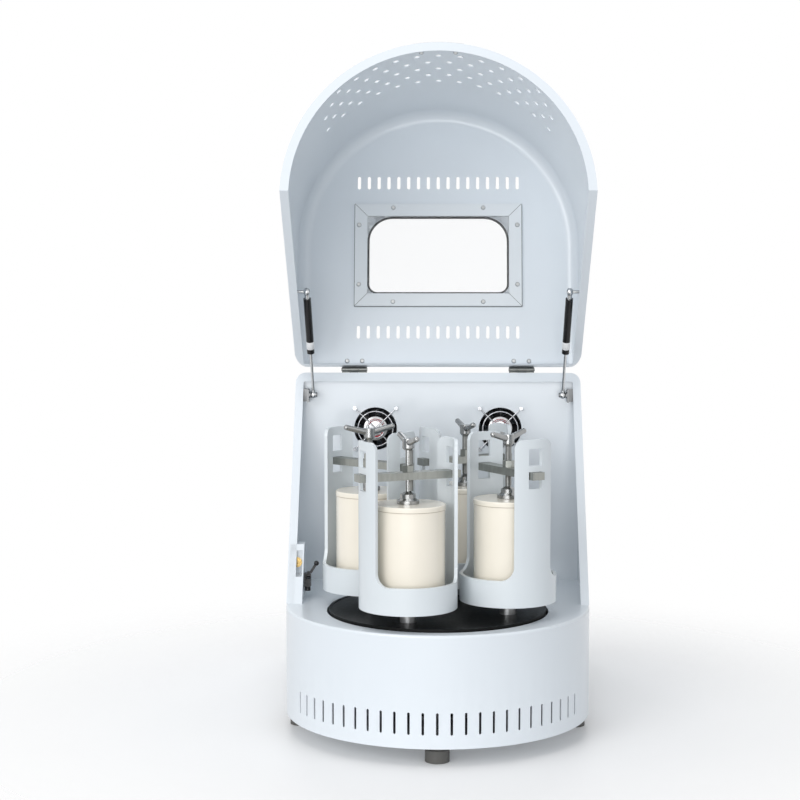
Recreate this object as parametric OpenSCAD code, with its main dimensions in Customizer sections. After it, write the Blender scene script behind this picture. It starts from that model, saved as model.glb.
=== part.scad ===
// Planetary ball mill with a hinged hood, shown with the hood open.
// The turntable axis stands at x = 0, y = 0 of the working frame. The last
// step moves everything back by origin_y, so that the part's own origin lies
// on the floor under the middle of its box. +Z is up and -Y is the front.

/* [Body] */
// Width of the base, chamber and lid
body_w = 470; // [440:1:520]
// Overall length from the curved front to the rear wall
body_len = 750; // [700:1:820]
// Height of the base above its bottom edge, up to the deck's top
base_h = 165; // [160:1:190]
// Height of the rubber feet
foot_h = 26; // [15:1:40]
// Diameter of a foot
foot_d = 36; // [24:1:44]
// Distance of the front curve's centre behind the turntable axis
arc_y = 46; // [40:1:52]
// Sheet metal thickness
sheet = 2; // [1.5:0.5:3]
// Thickness of the deck plate
deck_t = 5; // [4:1:8]
// Rounding of the deck's outer edge
deck_round = 3.5; // [2:0.5:3.5]
// Width of the inward flanges on the chamber and the lid
flange_w = 13; // [8:1:18]
// Distance of the chamber's back panel behind the turntable axis
back_y = 250; // [245:1:270]
// Height of the chamber's top edge above the deck
chamber_h = 346; // [330:1:370]
// Foot of the slanted front edge, behind the turntable axis
slant_y = 38.6; // [34:0.2:46]
// Rounding of the chamber's top corners and the lid's rear corners
corner_r = 16; // [8:1:20]

/* [Vent slots in the base] */
// Number of slots
vent_n = 25; // [15:2:27]
// Angle between slots
vent_step = 5.07; // [4.8:0.01:6]
// Width of a slot
vent_w = 3.8; // [3:0.1:6]
// Length of a slot
vent_len = 32.6; // [20:0.2:50]
// Lower end of the slots above the base's bottom edge
vent_z = 20.2; // [15:0.2:40]

/* [Lid] */
// Angle between the closed lid and the open lid shown
lid_open = 102; // [100:1:106]
// Hinge axis behind the turntable axis
hinge_y = 254; // [254:0.5:255]
// Hinge axis above the chamber's top edge
hinge_rise = 5; // [5:0.5:8]
// Inner face of the roof above the hinge axis
roof_rise = 9; // [8:0.5:12]
// Rounding between the roof and the walls
roof_round = 22; // [15:1:30]
// Gap between the closed lid's rim and the body
rim_gap = 1.5; // [1:0.1:3]
// Diameter of the vent holes in the curved wall
hole_d = 9.6; // [6:0.2:12]
// Height between two rows of vent holes
hole_row = 31.25; // [20:0.25:34]
// Lowest row of vent holes above the rim
hole_first = 58; // [40:1:64]
// Angle between vent holes in a row
hole_step = 8.1; // [7:0.1:9]
// Number of slots in each row of the roof
roof_slot_n = 17; // [9:2:19]
// Distance between roof slots
roof_slot_step = 16.6; // [14:0.1:18]
// Width of a roof slot
roof_slot_w = 5.4; // [4:0.2:7]
// Length of a roof slot
roof_slot_len = 21.8; // [15:0.2:26]
// Distance of the front and rear slot rows from the hinge axis
roof_slot_rows = [64.3, 319];

/* [Window] */
// Outer width of the window frame
window_w = 279; // [240:1:300]
// Outer depth of the window frame
window_d = 174; // [150:0.5:190]
// Middle of the window from the hinge axis
window_u = 195; // [185:1:205]
// Width of a frame strip
strip_w = 21; // [15:1:26]
// Thickness of a frame strip
strip_t = 6; // [5:0.5:8]
// Thickness of the pane
pane_t = 3; // [2:0.5:4]
// Corner radius of the opening at the lid's front
window_r_front = 42; // [20:1:50]
// Corner radius of the opening at the lid's rear
window_r_rear = 17; // [8:1:30]

/* [Hinges and struts] */
// Distance of a hinge's middle from the mill's middle
hinge_x = 138.5; // [120:0.5:160]
// Width of a hinge
hinge_w = 41; // [30:1:50]
// Diameter of a hinge barrel
barrel_d = 8.5; // [7:0.5:9]
// Diameter of a hinge pin
hinge_pin_d = 4.5; // [3:0.5:5]
// Distance of a strut from the body's outer side
strut_in = 30.5; // [28:0.5:33]
// How far a strut's upper end stands outside its lower end, lid open
strut_lean = 5; // [0:0.5:6]
// Lower strut pivot below the hinge axis
strut_low_drop = 40; // [36:1:44]
// Lower strut pivot in front of the hinge axis
strut_low_fwd = 26; // [22:1:28]
// Upper strut pivot in front of the hinge axis, lid closed
strut_up_fwd = 106.5; // [100:0.5:108]
// Upper strut pivot below the hinge axis, lid closed
strut_up_drop = 128.4; // [124:0.2:132]
// Diameter of a strut cylinder
strut_d = 12; // [10:0.5:13]
// Length of a strut cylinder from its pivot
strut_cyl_len = 110; // [100:1:111]
// Diameter of a strut rod
rod_d = 4.6; // [4:0.2:6]
// Diameter of a strut's ball end
ball_d = 10; // [9:0.5:11]
// Diameter of the stud in a strut's ball end
stud_d = 5; // [4:0.5:6]

/* [Fans and interlock] */
// Distance of a fan's middle from the mill's middle
fan_x = 103.4; // [95:0.2:115]
// Fan centres above the deck
fan_z = 253; // [230:1:275]
// Width of a square fan frame
fan_w = 79; // [74:1:82]
// Distance between a fan's screws
fan_pitch = 68.5; // [65:0.5:72]
// Radius of the opening for a fan
fan_r = 35.5; // [33:0.5:36]
// Radius of a fan's hub
fan_hub_r = 20; // [15:1:24]
// Thickness of a fan
fan_t = 25; // [20:1:30]
// Width of the interlock box
lock_w = 22.5; // [22:0.5:30]
// Height of the interlock box
lock_h = 85; // [80:1:90]
// Depth of the interlock box at its top
lock_d = 26; // [22:1:40]
// Diameter of the interlock's round catch
catch_d = 16; // [12:1:16]
// Height of the limit switch's pin above the switch's base
lever_rise = 17; // [17:0.5:18]

/* [Turntable and drive] */
// Radius of the turntable disc
disc_r = 166; // [164:0.2:172]
// Thickness of the turntable disc
disc_t = 12; // [10:1:14]
// Top of the disc above the deck
disc_rise = 4; // [3.5:0.5:8]
// Gap between the disc and the deck's opening
disc_gap = 3; // [2:0.5:5]
// Module of the gears
gear_m = 2; // [2:0.01:2.02]
// Teeth of the fixed sun gear
sun_teeth = 76; // [76:4:76]
// Teeth of a planet gear
planet_teeth = 38; // [38:2:38]
// Face width of the gears
gear_t = 12; // [8:1:14]
// Angle of the first planet from the front, seen from above
planet_turn = 22.3; // [18:0.1:26]
// Diameter of the main shaft
shaft_d = 30; // [24:1:36]
// Diameter of a planet shaft
planet_shaft_d = 24; // [18:1:28]
// Running clearance of a shaft in its bore, on the radius
run_gap = 0.05; // [0.02:0.01:0.1]
// Radius of the driven pulley
driven_r = 60; // [55:1:64]
// Radius of the motor pulley
motor_pulley_r = 24; // [20:1:28]
// Width of the drive belt
belt_w = 14; // [10:1:16]
// Motor axis behind the turntable axis
motor_y = 400; // [380:1:420]
// Diameter of the motor
motor_d = 128; // [110:1:140]
// Height of the motor
motor_h = 210; // [160:1:240]

/* [Planet carriers and jars] */
// Outer diameter of a carrier
carrier_d = 145.2; // [138:0.2:148]
// Wall of a carrier
carrier_wall = 5; // [4:0.5:6]
// Floor of a carrier
carrier_floor = 6; // [5:0.5:9]
// Underside of a carrier above the disc
carrier_rise = 21; // [17:1:24]
// Height of a carrier's low wall
low_wall_h = 40; // [30:1:50]
// Height of a carrier's uprights
carrier_h = 247; // [241:1:256]
// Half the angle that an upright takes up
upright_half = 26; // [22:0.5:28]
// Rounding of the cut beside an upright
cut_r = 20; // [12:1:24]
// Rounding of an upright's top corners
top_r = 13; // [8:1:16]
// Half the angle of a window in an upright
slot_half = 8.9; // [8.8:0.1:10]
// Height of an upright's windows
slot_h = 25; // [22:0.5:28]
// Lower window above the carrier's underside
slot_low = 175; // [170:1:178]
// Height of the bridge between the two windows
slot_bridge = 9; // [6:0.5:12]
// Outer diameter of a jar
jar_d = 103; // [90:0.5:104]
// Height of a jar with its lid
jar_h = 147; // [140:1:150]
// Height of a jar's lid above its seam
jar_lid_h = 7; // [5:0.5:12]
// Wall of a jar
jar_wall = 9; // [6:0.5:14]
// Rounding of a jar's bottom edge
jar_round = 9; // [4:0.5:12]
// How far the front jar stands to the right of its carrier's axis
front_jar_shift = 3; // [0:0.5:6]

/* [Clamps] */
// Length of a clamp bar
bar_len = 162; // [155:1:170]
// Width of a clamp bar
bar_w = 20; // [18:0.5:20]
// Height of a clamp bar
bar_h = 11; // [9:0.5:13]
// Diameter of a clamp screw
screw_d = 8; // [7:0.5:10]
// Width of the hex nut across its flats
nut_w = 15; // [13:0.5:18]
// Height of the hex nut
nut_h = 10; // [8:0.5:12]
// Diameter of the screw's foot
foot_flange_d = 33; // [28:1:38]
// Height of the handle's hub above the carrier's underside
hub_z = 235; // [230:1:240]
// Length of a handle arm from the screw's axis
arm_len = 41; // [34:1:46]
// Rise of a handle arm towards its tip
arm_rise = 12; // [6:1:16]

/* [Rear housing] */
// Top of the rear housing below the hinge axis
rear_drop = 35; // [27:1:60]
// Width of the control panel
panel_w = 220; // [180:1:260]
// Depth of the control panel
panel_d = 110; // [90:1:130]
// Diameter of the speed knob
knob_d = 30; // [24:1:36]
// Diameter of the stop button
stop_d = 34; // [28:1:38]
// Travel of the stop button
stop_travel = 4; // [3:0.5:5]

/* [Hidden] */

paint = [0.90, 0.93, 0.96];
steel = [0.66, 0.68, 0.69];
dark_steel = [0.35, 0.36, 0.37];
black = [0.10, 0.10, 0.11];
ceramic = [0.97, 0.93, 0.84];
brass = [0.74, 0.58, 0.30];

// Small cut allowance, and the gap left between pieces that only rest together
cut = 1;
rest_gap = 0.3;

// Levels, from the floor up
body_r = body_w / 2;
base_z = foot_h;
deck_z = base_z + base_h;
chamber_top = deck_z + chamber_h;
hinge_z = chamber_top + hinge_rise;
roof_in = hinge_z + roof_rise;
roof_out = roof_in + sheet;
rim_z = deck_z + rim_gap;
rear_h = hinge_z - rear_drop - deck_z;
disc_top = deck_z + disc_rise;
carrier_z = disc_top + carrier_rise;
floor_top = base_z + sheet;

// Levels along the depth
front_y = arc_y - body_r;
rear_y = front_y + body_len;
origin_y = (front_y + rear_y) / 2;
cover_y = hinge_y + 2;
lid_back = hinge_y - 6;

// The slanted parting line runs from the hinge axis to the foot of the slant
slant_run = hinge_y - slant_y;
slant_rise = hinge_z - rim_z;
slant_len = norm([slant_run, slant_rise]);

// Planets
planet_r = gear_m * (sun_teeth + planet_teeth) / 2;
carrier_r = carrier_d / 2;
planet_dir = [for (k = [0:3]) -90 - planet_turn + 90 * k];
// Direction of each carrier's bar and of each handle in the view shown
bar_dir = [25, -59, 30, -39];
arm_dir = [-70, 50, -72, 20];

module place() {
    translate([0, -origin_y, 0]) children();
}

module at_planet(k) {
    translate([planet_r * cos(planet_dir[k]), planet_r * sin(planet_dir[k]), 0]) children();
}

module both_sides() {
    for (side = [0, 1]) mirror([side, 0, 0]) children();
}

// Turns what is drawn for the closed lid into the open lid
module opened() {
    translate([0, hinge_y, hinge_z]) rotate([-lid_open, 0, 0])
        translate([0, -hinge_y, -hinge_z]) children();
}

// Plan of the base: a half round front and straight sides back to y_end
module plan(inset, y_end) {
    translate([0, arc_y]) circle(r = body_r - inset, $fn = 180);
    translate([inset - body_r, arc_y]) square([body_w - 2 * inset, y_end - inset - arc_y]);
}

// A profile in radius and height, swept round the front and back along the sides
module swept(run) {
    translate([0, arc_y, 0]) rotate([0, 0, 180])
        rotate_extrude(angle = 180, $fn = 180) children();
    both_sides() translate([0, arc_y + run, 0]) rotate([90, 0, 0])
        linear_extrude(run) children();
}

// A slot with round ends, along Y
module slot_2d(w, len) {
    square([w, len - w], center = true);
    for (end = [-1, 1]) translate([0, end * (len - w) / 2]) circle(d = w, $fn = 24);
}

// Base

module vent_cutters() {
    for (i = [0:vent_n - 1])
        translate([0, arc_y, base_z + vent_z + vent_len / 2])
            rotate([0, 0, (i - (vent_n - 1) / 2) * vent_step])
                translate([0, -body_r + 3 * sheet, 0]) rotate([90, 0, 0])
                    linear_extrude(6 * sheet) slot_2d(vent_w, vent_len);
}

module base_shell() {
    place() color(paint) difference() {
        translate([0, 0, base_z]) linear_extrude(base_h - deck_t) plan(0, rear_y);
        translate([0, 0, base_z - cut]) linear_extrude(base_h) plan(sheet, rear_y);
        vent_cutters();
        inlet_cut();
        // Lifting notches where the curve meets the straight sides
        translate([-body_r - cut, arc_y - 14, base_z - cut])
            cube([body_w + 2 * cut, 34, 12 + cut]);
    }
}

module base_floor() {
    place() color(paint) difference() {
        translate([0, 0, base_z]) linear_extrude(sheet) plan(sheet + rest_gap, rear_y);
        // Cooling air enters under the motor
        for (i = [-3:3]) translate([i * 16, motor_y, base_z - cut])
            linear_extrude(sheet + 2 * cut) slot_2d(6, 70);
    }
}

module deck_plate() {
    place() color(paint) difference() {
        swept(rear_y - arc_y) translate([0, deck_z - deck_t]) {
            square([body_r, deck_t - deck_round]);
            square([body_r - deck_round, deck_t]);
            translate([body_r - deck_round, deck_t - deck_round]) intersection() {
                circle(r = deck_round, $fn = 32);
                square(deck_round);
            }
        }
        translate([0, 0, deck_z - deck_t - cut])
            cylinder(r = disc_r + disc_gap, h = deck_t + 2 * cut, $fn = 180);
        // Opening for the motor and its wiring under the rear housing
        translate([-motor_d, motor_y - motor_d * 0.75, deck_z - deck_t - cut])
            cube([2 * motor_d, motor_d * 1.5, deck_t + 2 * cut]);
    }
}

side_foot_x = body_r - 23;
rear_foot_x = body_r - 35;
foot_spots = [
    [0, front_y + 34], [-side_foot_x, arc_y + 2], [side_foot_x, arc_y + 2],
    [-rear_foot_x, rear_y - 40], [rear_foot_x, rear_y - 40]
];

module feet() {
    place() color(black) for (spot = foot_spots) translate([spot[0], spot[1], 0]) {
        cylinder(d = foot_d, h = foot_h * 0.7, $fn = 48);
        translate([0, 0, foot_h * 0.7]) cylinder(d = foot_d - 6, h = foot_h * 0.3, $fn = 48);
    }
}

// Chamber: back panel and side panels with one flange all round the slanted opening

module chamber_outline(inset) {
    top = chamber_top - inset;
    half = body_r - inset;
    r = corner_r - min(inset, corner_r - 3);
    translate([-half, deck_z]) square([2 * half, top - r - deck_z]);
    translate([-half + r, deck_z]) square([2 * (half - r), top - deck_z]);
    for (side = [-1, 1]) translate([side * (half - r), top - r]) circle(r = r, $fn = 64);
}

module chamber_tunnel(inset, y0, y1) {
    translate([0, y1, 0]) rotate([90, 0, 0]) linear_extrude(y1 - y0) chamber_outline(inset);
}

// A point on the slanted parting line: the distance down from the hinge axis,
// and the distance off the line towards the lid
function slant_pt(along, off) = [
    hinge_y - (along * slant_run + off * slant_rise) / slant_len,
    hinge_z - (along * slant_rise - off * slant_run) / slant_len
];

// A prism across the whole width from points in depth and height
module across(points) {
    translate([-body_w, 0, 0]) rotate([90, 0, 90]) linear_extrude(2 * body_w) polygon(points);
}

module slant_slab(low, high) {
    across([
        slant_pt(-flange_w, low), slant_pt(slant_len + flange_w, low),
        slant_pt(slant_len + flange_w, high), slant_pt(-flange_w, high)
    ]);
}

module chamber_shell() {
    y_end = back_y + sheet;
    place() color(paint) difference() {
        union() {
            difference() {
                chamber_tunnel(0, slant_y - flange_w, y_end);
                translate([0, 0, -cut]) chamber_tunnel(sheet, slant_y - 2 * flange_w, back_y);
            }
            // The flange follows the slant and turns inwards
            intersection() {
                difference() {
                    chamber_tunnel(sheet / 2, slant_y - flange_w, back_y + sheet / 2);
                    translate([0, 0, -cut])
                        chamber_tunnel(flange_w, slant_y - 2 * flange_w, y_end + cut);
                }
                slant_slab(-rim_gap / 2 - sheet, -rim_gap / 2 + cut);
            }
        }
        slant_slab(-rim_gap / 2, slant_len);
        translate([-body_w, slant_y - 3 * flange_w, deck_z - cut])
            cube([2 * body_w, 3 * flange_w - sheet, chamber_h]);
        lock_prism(0, 0);
        both_sides() translate([fan_x, back_y - cut, deck_z + fan_z]) rotate([-90, 0, 0]) {
            cylinder(r = fan_r, h = sheet + 2 * cut, $fn = 96);
            fan_screw_spots() cylinder(d = 4.2, h = sheet + 2 * cut, $fn = 24);
        }
    }
}

// Fans behind the chamber's back panel, drawn along +Z from the panel's rear face

module fan_screw_spots() {
    for (x = [-1, 1], y = [-1, 1]) translate([x, y, 0] * fan_pitch / 2) children();
}

module at_fan(side) {
    translate([side * fan_x, back_y + sheet, deck_z + fan_z]) rotate([-90, 0, 0]) children();
}

fan_axle_d = 5;

module fan_frames() {
    place() color(black) for (side = [-1, 1]) at_fan(side) difference() {
        translate([-fan_w / 2, -fan_w / 2, 0]) cube([fan_w, fan_w, fan_t]);
        difference() {
            translate([0, 0, -cut]) cylinder(r = fan_r, h = fan_t + 2 * cut, $fn = 96);
            // Motor seat on four arms at the rear of the frame
            translate([0, 0, fan_t - 5]) cylinder(r = fan_hub_r, h = 5, $fn = 64);
            for (a = [45:90:315]) rotate([0, 0, a])
                translate([0, -3, fan_t - 4]) cube([fan_r + cut, 6, 4]);
        }
        translate([0, 0, fan_t - 6]) cylinder(d = fan_axle_d + 2 * run_gap, h = 8, $fn = 48);
        fan_screw_spots() translate([0, 0, -cut]) cylinder(d = 4.2, h = fan_t + 2 * cut, $fn = 24);
    }
}

module fan_rotor(side) {
    color(steel) at_fan(side) {
        translate([0, 0, 2]) cylinder(r = fan_hub_r, h = fan_t - 8, $fn = 64);
        translate([0, 0, fan_t - 7]) cylinder(d = fan_axle_d, h = 6, $fn = 48);
        for (a = [0:360 / 7:359]) rotate([0, 0, a]) translate([fan_hub_r - 1, 0, fan_t / 2 - 2])
            rotate([38, 0, 0]) translate([0, -1, -9]) cube([fan_r - fan_hub_r - 0.5, 2, 18]);
    }
}

module fan_rotor_left() {
    place() fan_rotor(-1);
}

module fan_rotor_right() {
    place() fan_rotor(1);
}

guard_wire = 2;

module wire_ring(r) {
    rotate_extrude($fn = 96) translate([r, 0]) circle(d = guard_wire, $fn = 16);
}

module fan_guards() {
    ring_z = -sheet - guard_wire * 2;
    place() color(steel) for (side = [-1, 1]) at_fan(side) {
        translate([0, 0, ring_z]) wire_ring(29);
        translate([0, 0, ring_z]) wire_ring(15);
        for (a = [45:90:315]) rotate([0, 0, a]) {
            translate([0, 0, ring_z + 0.6 * guard_wire]) rotate([0, 90, 0])
                cylinder(d = guard_wire, h = fan_pitch * 0.7071, $fn = 16);
            // Foot and screw that hold the wire to the panel
            translate([fan_pitch * 0.7071, 0, ring_z - 0.5])
                cylinder(d = 6.5, h = 0.5 - ring_z - sheet, $fn = 32);
            translate([fan_pitch * 0.7071, 0, -sheet - cut])
                cylinder(d = 3.6, h = sheet + cut + 6, $fn = 24);
        }
    }
}

// Hinges

module knuckle(x0, x1, bore) {
    translate([x0, hinge_y, hinge_z]) rotate([0, 90, 0]) difference() {
        cylinder(d = barrel_d, h = x1 - x0, $fn = 48);
        if (bore > 0) translate([0, 0, -cut]) cylinder(d = bore, h = x1 - x0 + 2 * cut, $fn = 48);
    }
}

knuckle_gap = 0.4;
rivet_x = 12.5;
rivet_d = 4;
rivet_u = 15.5;
knuckle_w = hinge_w / 3;
leaf_t = 2;

module hinge_body_leaves() {
    x0 = hinge_x - hinge_w / 2;
    leaf_y = back_y + sheet;
    place() color(dark_steel) both_sides() {
        knuckle(x0, x0 + knuckle_w - knuckle_gap, 0);
        knuckle(x0 + 2 * knuckle_w + knuckle_gap, x0 + hinge_w, 0);
        translate([x0 - 1, hinge_y, hinge_z]) rotate([0, 90, 0])
            cylinder(d = hinge_pin_d, h = hinge_w + 2, $fn = 48);
        // The leaf runs down behind the back panel
        difference() {
            translate([x0, leaf_y, hinge_z - 28]) cube([hinge_w, leaf_t, 28]);
            translate([x0 + knuckle_w - knuckle_gap, leaf_y - cut, hinge_z - barrel_d / 2 - 1])
                cube([knuckle_w + 2 * knuckle_gap, leaf_t + 2 * cut, barrel_d]);
        }
        for (x = [-1, 1]) translate([hinge_x + x * rivet_x, leaf_y + leaf_t - 0.2, hinge_z - 17])
            rotate([-90, 0, 0]) cylinder(d1 = 8, d2 = 5, h = 1.6, $fn = 32);
    }
}

module hinge_lid_leaves() {
    x0 = hinge_x - hinge_w / 2;
    top = roof_out;
    place() opened() color(dark_steel) both_sides() {
        knuckle(x0 + knuckle_w, x0 + 2 * knuckle_w, hinge_pin_d + 2 * run_gap);
        // Up from the barrel, then forward over the roof
        translate([x0 + knuckle_w, hinge_y + barrel_d / 2 - leaf_t, hinge_z])
            cube([knuckle_w, leaf_t, top - hinge_z + leaf_t]);
        difference() {
            translate([x0, hinge_y + barrel_d / 2 - 24, top]) cube([hinge_w, 24, leaf_t]);
            rivet_spots() translate([0, 0, top - cut]) cylinder(d = rivet_d, h = leaf_t + 2 * cut, $fn = 32);
        }
    }
}

module rivet_spots() {
    for (x = [-1, 1]) translate([hinge_x + x * rivet_x, hinge_y - rivet_u, 0]) children();
}

// Gas struts. Each rod turns on a stud of the chamber, and each cylinder's end
// stands beside the lid's stud, where the linkage is left open.

low_pivot = [hinge_y - strut_low_fwd, hinge_z - strut_low_drop];
up_pivot_open = [
    hinge_y - strut_up_fwd * cos(lid_open) - strut_up_drop * sin(lid_open),
    hinge_z + strut_up_fwd * sin(lid_open) - strut_up_drop * cos(lid_open)
];
strut_vec = up_pivot_open - low_pivot;
strut_len = norm([strut_lean, strut_vec[0], strut_vec[1]]);
strut_closed_len = norm([strut_up_fwd - strut_low_fwd, strut_up_drop - strut_low_drop]);
strut_tilt = atan2(strut_vec[1], strut_vec[0]);
eye_w = 9;
strut_x = body_r - strut_in;

lean_turn = asin(strut_lean / strut_len);

// Draws along +X from the lower pivot towards the upper one, on one side
module along_strut(side) {
    translate([side * strut_x, low_pivot[0], low_pivot[1]])
        rotate([strut_tilt, 0, 0]) rotate([0, 0, 90 - side * lean_turn]) children();
}

// A ball end with its bore across the mill, so it doesn't share the strut's lean
module strut_eye(side, bore) {
    rotate([0, 0, side * lean_turn]) difference() {
        intersection() {
            rotate([0, 0, 90]) sphere(d = ball_d + 2, $fn = 48);
            rotate([90, 0, 0]) cylinder(d = 2 * ball_d, h = eye_w, center = true, $fn = 24);
        }
        rotate([90, 0, 0]) cylinder(d = bore, h = 2 * ball_d, center = true, $fn = 48);
    }
}

module strut_rod(side) {
    place() color(steel) along_strut(side) {
        strut_eye(side, stud_d + 2 * run_gap);
        translate([ball_d / 2 - 0.5, 0, 0]) rotate([0, 90, 0])
            cylinder(d = rod_d + 2, h = 3.5, $fn = 32);
        translate([ball_d / 2 + 1, 0, 0]) rotate([0, 90, 0])
            cylinder(d = rod_d, h = strut_closed_len - 1.5 * ball_d - 9, $fn = 32);
    }
}

module strut_cylinder(side) {
    place() color(black) along_strut(side) difference() {
        union() {
            translate([strut_len - strut_cyl_len, 0, 0]) rotate([0, 90, 0])
                cylinder(d = strut_d, h = strut_cyl_len - ball_d - 2, $fn = 48);
            translate([strut_len - ball_d - 4, 0, 0]) rotate([0, 90, 0])
                cylinder(d = rod_d + 3, h = 9, $fn = 32);
            translate([strut_len, 0, 0]) strut_eye(side, stud_d + 2 * run_gap);
        }
        translate([strut_len - strut_cyl_len - cut, 0, 0]) rotate([0, 90, 0])
            cylinder(d = rod_d + 2 * rest_gap, h = strut_cyl_len - ball_d - 6, $fn = 32);
    }
}

module strut_rod_left() strut_rod(-1);
module strut_rod_right() strut_rod(1);
module strut_cylinder_left() strut_cylinder(-1);
module strut_cylinder_right() strut_cylinder(1);

wall_in = body_r - sheet;

bracket_h = 21;

// Bracket plates on the side panels with the studs that the rods turn on
module strut_brackets() {
    plate_x = strut_x + eye_w / 2 + 3;
    place() color(steel) both_sides() {
        // Angle plate: legs beside the strut, across, and on the side panel
        translate([plate_x, low_pivot[0] - 7, low_pivot[1] - 12]) cube([2.5, 22, bracket_h]);
        translate([plate_x, low_pivot[0] + 12, low_pivot[1] - 12])
            cube([wall_in - plate_x, 3, bracket_h]);
        translate([wall_in - 2.5, low_pivot[0] + 12, low_pivot[1] - 12])
            cube([2.5, back_y - low_pivot[0] - 12, bracket_h]);
        translate([strut_x - eye_w / 2 - 1.5, low_pivot[0], low_pivot[1]]) rotate([0, 90, 0]) {
            cylinder(d = stud_d, h = plate_x - strut_x + eye_w / 2 + 2.5, $fn = 48);
            cylinder(d = stud_d + 3, h = 1.2, $fn = 32);
        }
        translate([plate_x - 2.4, low_pivot[0], low_pivot[1]]) rotate([0, 90, 0])
            cylinder(d = stud_d + 5, h = 2.5, $fn = 6);
    }
}

// Lid interlock on the left side panel

lock_x = -wall_in;
lock_top = deck_z + lock_h;
catch_z = deck_z + 57;
catch_half = 19;
catch_depth = 16;
catch_x = lock_x + catch_d / 2 + 3;

// Depth of the slanted parting line at one height
function slant_at(z) = slant_pt((hinge_z - z) * slant_len / slant_rise, 0)[0];

lock_back = slant_at(lock_top) + lock_d;

// The box seen from its side, its front flush with the chamber's flange
module lock_prism(inset, drop) {
    step = rim_gap / 2 * slant_len / slant_rise + inset;
    translate([lock_x + inset, 0, 0]) rotate([90, 0, 90]) linear_extrude(lock_w - 2 * inset)
        polygon([
            [slant_at(deck_z) + step, deck_z - drop], [lock_back - inset, deck_z - drop],
            [lock_back - inset, lock_top - inset], [slant_at(lock_top) + step, lock_top - inset]
        ]);
}

module interlock_box() {
    place() color(paint) difference() {
        lock_prism(0, 0);
        // Recess for the catch, open to the front
        translate([lock_x + 2.5, 0, 0]) rotate([90, 0, 90]) linear_extrude(lock_w - 4.5)
            polygon([
                [slant_y, catch_z - catch_half], [slant_at(catch_z) + catch_depth, catch_z - catch_half],
                [slant_at(catch_z) + catch_depth, catch_z + catch_half], [slant_y, catch_z + catch_half]
            ]);
        // Bore for the catch's stem, and the wiring space below
        translate([catch_x, slant_at(catch_z), catch_z]) rotate([-90, 0, 0])
            cylinder(d = 5, h = lock_back, $fn = 32);
        translate([lock_x + sheet, slant_at(deck_z) + 20, deck_z - cut])
            cube([lock_w - 2 * sheet, 50, 24]);
    }
}

module interlock_catch() {
    seat = slant_at(catch_z) + catch_depth;
    place() color(brass) translate([catch_x, seat, catch_z]) rotate([90, 0, 0]) {
        difference() {
            union() {
                cylinder(d = catch_d, h = 3, $fn = 64);
                cylinder(d = catch_d - 6, h = 5.5, $fn = 64);
            }
            translate([0, 0, 2]) cylinder(d = 5, h = 4, $fn = 32);
        }
        translate([0, 0, -12]) cylinder(d = 4.8, h = 13, $fn = 32);
    }
}

switch_x = lock_x + lock_w;
switch_y = 92;
switch_z = deck_z + 18;
lever_pivot = [switch_x + 6.8, switch_y, switch_z + lever_rise];

module limit_switch() {
    place() color(black) {
        translate([switch_x, switch_y - 9, switch_z]) cube([10, 18, 13]);
        translate([switch_x + 5, switch_y, switch_z - 7]) cylinder(d = 9, h = 8, $fn = 32);
        translate([switch_x, switch_y - 7, switch_z + 13]) cube([3.5, 14, 8]);
        // Pin that the lever turns on
        translate([switch_x, lever_pivot[1], lever_pivot[2]]) rotate([0, 90, 0])
            cylinder(d = 4, h = 10.5, $fn = 32);
    }
}

module limit_lever() {
    place() color(black) translate(lever_pivot) {
        rotate([0, 90, 0]) difference() {
            cylinder(d = 7, h = 6, center = true, $fn = 48);
            cylinder(d = 4 + 2 * run_gap, h = 10, center = true, $fn = 48);
        }
        // The arm leans towards the middle of the mill
        translate([-2.5, -1.5, 2.7]) cube([5, 3, 4]);
        rotate([0, 32, 0]) {
            translate([-2, -1.5, 5]) cube([4, 3, 15.6]);
            translate([0, 0, 23]) sphere(d = 8, $fn = 32);
        }
    }
}

// Rear housing over the motor and the inverter

module rear_cover() {
    z1 = deck_z + rear_h;
    place() color(paint) difference() {
        translate([-body_r, cover_y, deck_z]) cube([body_w, rear_y - cover_y, rear_h]);
        translate([-body_r + sheet, cover_y + sheet, deck_z - cut])
            cube([body_w - 2 * sheet, rear_y - cover_y - 2 * sheet, rear_h - sheet + cut]);
        // Air passes from the fans into the housing
        for (side = [-1, 1]) translate([side * fan_x, cover_y - cut, deck_z + fan_z])
            rotate([-90, 0, 0]) cylinder(r = fan_w / 2 + 20, h = sheet + 2 * cut, $fn = 96);
        // Exhaust slots in the rear wall
        for (i = [-8:8]) translate([i * 20, rear_y + cut, deck_z + 75])
            rotate([90, 0, 0]) linear_extrude(sheet + 2 * cut) slot_2d(6, 60);
        panel_screw_spots() translate([0, 0, z1 - sheet - cut])
            cylinder(d = 4.5, h = sheet + 2 * cut, $fn = 24);
        for (x = [knob_x, stop_x]) translate([x, panel_y, z1 - sheet - cut])
            cylinder(d = 23, h = sheet + 2 * cut, $fn = 48);
    }
}

panel_y = motor_y + 30;
panel_t = 3;
panel_z = deck_z + rear_h;
knob_x = 10;
stop_x = 75;

module panel_screw_spots() {
    for (x = [-1, 1], y = [-1, 1])
        translate([x * (panel_w / 2 - 8), panel_y + y * (panel_d / 2 - 8), 0]) children();
}

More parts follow.
